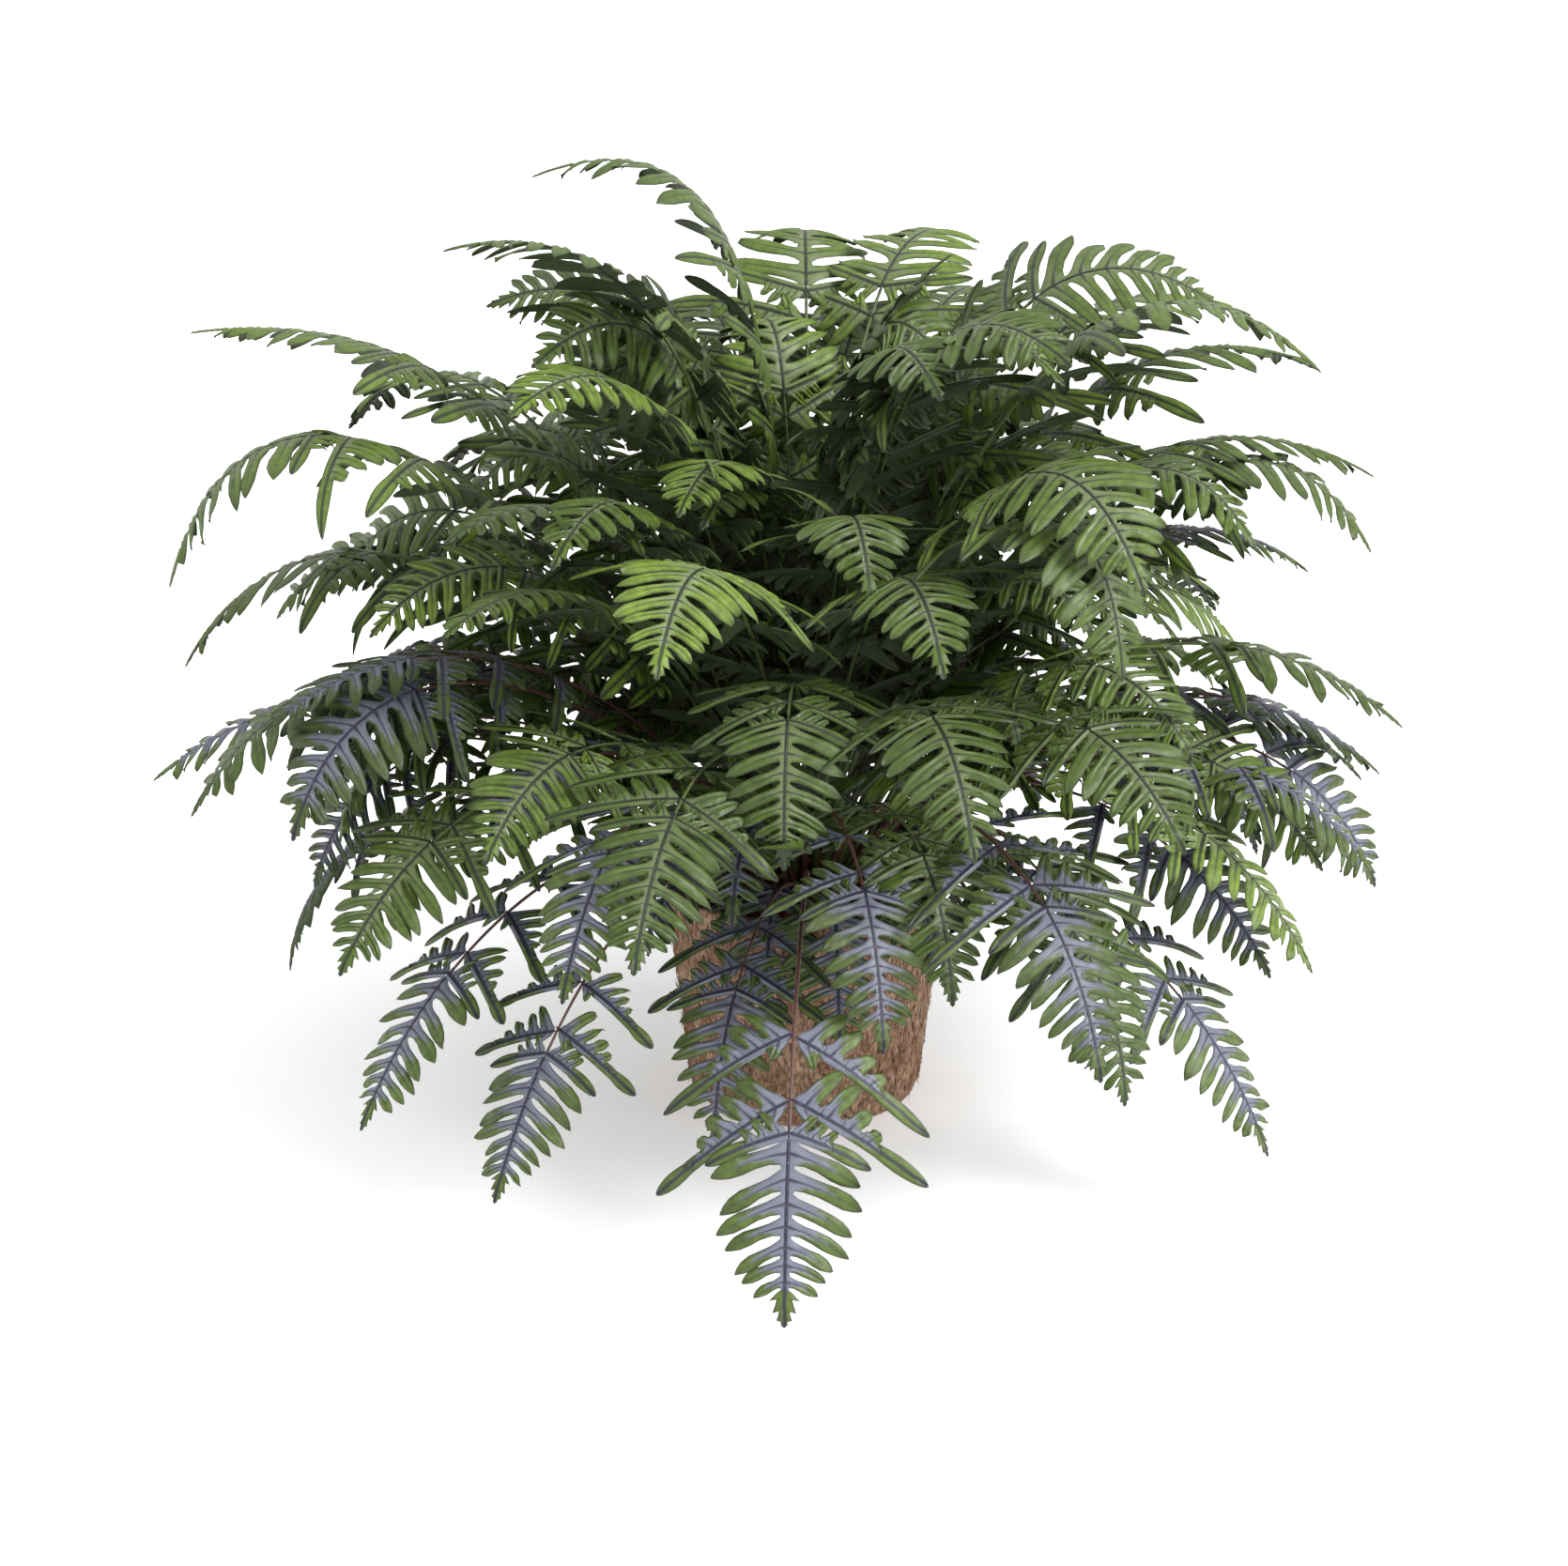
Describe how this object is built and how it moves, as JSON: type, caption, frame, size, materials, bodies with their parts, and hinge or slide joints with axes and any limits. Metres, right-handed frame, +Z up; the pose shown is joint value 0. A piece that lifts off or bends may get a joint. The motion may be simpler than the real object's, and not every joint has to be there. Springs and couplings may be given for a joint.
{
  "type": "potted fern",
  "caption": "Bushy fern of arching, lobed fronds, the upper ones green and the lower ones silvered, rising from a low crown in a tapered, round pot of moulded coir fibre.",
  "frame": {"origin": "middle of the pot's flat underside", "axes": "+Z up along the pot's axis; -Y towards the front; +X to the right seen from the front"},
  "size_m": [0.8627, 0.8168, 0.6744],
  "materials": {
    "coir_fibre": "moulded coconut fibre, rough, with dark vertical pits",
    "potting_soil": "coarse, crumbly, dark red-brown",
    "rhizome": "scaly, dark brown",
    "green_leaf": "printed satin leaf, mid green with dark veins",
    "silver_leaf": "printed satin leaf, silver lilac along the veins with green edges"
  },
  "bodies": {
    "root": {"fibre_pot": "coir_fibre", "soil_plug": "potting_soil", "crown": "rhizome", "silver_frond_01": "silver_leaf", "silver_frond_02": "silver_leaf", "silver_frond_03": "silver_leaf", "silver_frond_04": "silver_leaf", "silver_frond_05": "silver_leaf", "silver_frond_06": "silver_leaf", "silver_frond_07": "silver_leaf", "silver_frond_08": "silver_leaf", "silver_frond_09": "silver_leaf", "silver_frond_10": "silver_leaf", "silver_frond_11": "silver_leaf", "silver_frond_12": "silver_leaf", "silver_frond_13": "silver_leaf", "silver_frond_14": "silver_leaf", "silver_frond_15": "silver_leaf", "silver_frond_16": "silver_leaf", "green_frond_01": "green_leaf", "green_frond_02": "green_leaf", "green_frond_03": "green_leaf", "green_frond_04": "green_leaf", "green_frond_05": "green_leaf", "green_frond_06": "green_leaf", "green_frond_07": "green_leaf", "green_frond_08": "green_leaf", "green_frond_09": "green_leaf", "green_frond_10": "green_leaf", "green_frond_11": "green_leaf", "green_frond_12": "green_leaf", "green_frond_13": "green_leaf", "green_frond_14": "green_leaf", "green_frond_15": "green_leaf", "green_frond_16": "green_leaf", "green_frond_17": "green_leaf", "green_frond_18": "green_leaf", "green_frond_19": "green_leaf", "green_frond_20": "green_leaf", "green_frond_21": "green_leaf", "green_frond_22": "green_leaf", "green_frond_23": "green_leaf", "green_frond_24": "green_leaf", "green_frond_25": "green_leaf", "green_frond_26": "green_leaf", "green_frond_27": "green_leaf", "green_frond_28": "green_leaf", "green_frond_29": "green_leaf", "green_frond_30": "green_leaf", "green_frond_31": "green_leaf", "green_frond_32": "green_leaf", "green_frond_33": "green_leaf", "green_frond_34": "green_leaf", "green_frond_35": "green_leaf", "green_frond_36": "green_leaf", "green_frond_37": "green_leaf", "green_frond_38": "green_leaf", "green_frond_39": "green_leaf", "green_frond_40": "green_leaf"}
  },
  "joints": []
}
